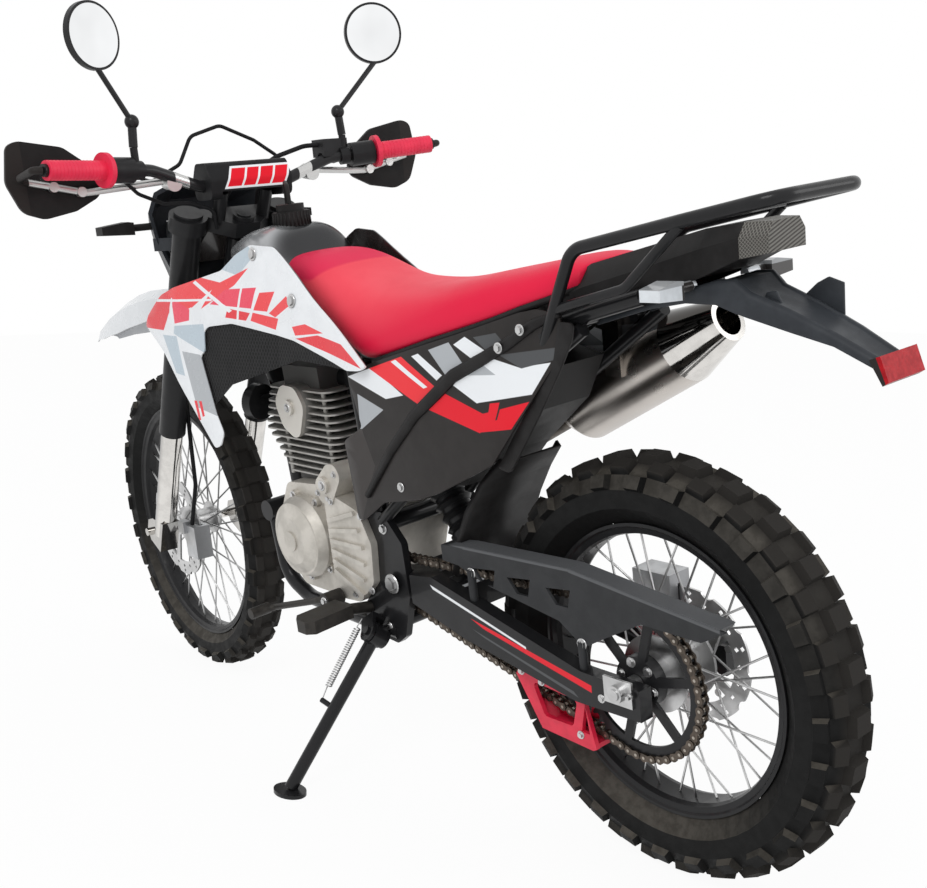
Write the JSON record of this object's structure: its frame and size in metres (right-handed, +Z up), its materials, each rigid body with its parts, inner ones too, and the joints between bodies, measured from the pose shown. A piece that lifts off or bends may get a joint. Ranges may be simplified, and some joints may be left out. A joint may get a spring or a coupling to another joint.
{
  "type": "dual sport motorcycle",
  "caption": "Dual sport motorcycle on its side stand, with turning wheels, steering and a folding stand, long seat, high mudguard, luggage rack and hand guards.",
  "frame": {"origin": "on the ground under the middle of the parked machine's bounding box", "axes": "+X to the front, +Y to the rider's left, +Z up; the machine leans to its left onto the side stand, and the steering is turned slightly to the right"},
  "size_m": [2.249, 0.8713, 1.4516],
  "materials": {
    "black_frame_paint": "satin",
    "engine_alloy": "cast satin",
    "black_alloy": "satin",
    "black_plastic": "satin",
    "dark_grey_plastic": "satin",
    "white_plastic": "gloss",
    "red_plastic": "satin",
    "tank_grey": "metallic",
    "seat_cover": "smooth",
    "brushed_silencer": "brushed",
    "chrome": "polished",
    "steel": "satin",
    "dark_steel": "oiled",
    "tyre_rubber": "moulded",
    "black_rubber": "matte",
    "red_rubber": "satin",
    "red_lens": "lens",
    "clear_lens": "lens",
    "silver_paint": "metallic",
    "mirror_face": "polished"
  },
  "bodies": {
    "chassis": {"frame": "black_frame_paint", "engine_cases": "engine_alloy", "engine_cylinder": "black_alloy", "intake": "black_rubber", "exhaust_pipe": "dark_steel", "silencer": "brushed_silencer", "silencer_tip": "chrome", "fuel_tank": "tank_grey", "fuel_cap": "black_plastic", "seat": "seat_cover", "left_shroud": "white_plastic", "right_shroud": "white_plastic", "shroud_inserts": "black_plastic", "left_side_panel": "black_plastic", "right_side_panel": "black_plastic", "tail_fairing": "black_plastic", "tail_lamp": "clear_lens", "rear_fender": "dark_grey_plastic", "reflector": "red_lens", "rear_indicators": "clear_lens", "rear_rack": "black_frame_paint", "swingarm": "black_frame_paint", "rear_axle": "steel", "chain_guard": "dark_grey_plastic", "chain_guide": "red_plastic", "drive_chain": "dark_steel", "rear_shock": "black_frame_paint", "inner_fender": "black_plastic", "air_box": "black_plastic", "foot_controls": "dark_steel", "rear_caliper": "silver_paint", "horn": "black_alloy", "cradle": "black_frame_paint", "subframe": "black_frame_paint"},
    "side_stand": {"side_stand": "black_frame_paint", "stand_spring": "steel"},
    "front_end": {"triple_clamps": "black_alloy", "fork_tubes": "black_alloy", "fork_stanchions": "chrome", "handlebar": "silver_paint", "grips": "red_rubber", "bar_pad": "black_rubber", "bar_controls": "black_alloy", "handguards": "black_plastic", "mirrors": "mirror_face", "front_fender": "white_plastic", "headlight_mask": "dark_grey_plastic", "headlamp": "clear_lens", "front_indicators": "black_plastic", "front_caliper": "silver_paint", "control_cables": "black_rubber", "brake_hose": "black_rubber"},
    "rear_wheel": {"rear_tyre": "tyre_rubber", "rear_rim": "black_alloy", "rear_hub": "silver_paint", "rear_sprocket": "dark_steel"},
    "front_wheel": {"front_tyre": "tyre_rubber", "front_rim": "black_alloy", "front_hub": "silver_paint"}
  },
  "joints": [
    {"name": "steering", "type": "hinge", "parent": "chassis", "child": "front_end", "pos_m": [0.36631, -0.02295, 0.92639], "axis": [-0.454, 0.1286, 0.8817], "range_deg": [-35.5, 44.5]},
    {"name": "front_wheel_spin", "type": "hinge", "parent": "front_end", "child": "front_wheel", "pos_m": [0.73283, -0.11221, 0.34757], "axis": [0.0699, 0.9916, -0.1087], "continuous": true},
    {"name": "rear_wheel_spin", "type": "hinge", "parent": "chassis", "child": "rear_wheel", "pos_m": [-0.717, -0.10892, 0.33707], "axis": [0, 0.9895, -0.1444], "continuous": true},
    {"name": "stand_fold", "type": "hinge", "parent": "chassis", "child": "side_stand", "pos_m": [-0.125, 0.01197, 0.27901], "axis": [0.1838, 0.8347, 0.5191], "range_deg": [0, 98], "deforming": ["stand_spring"]}
  ]
}
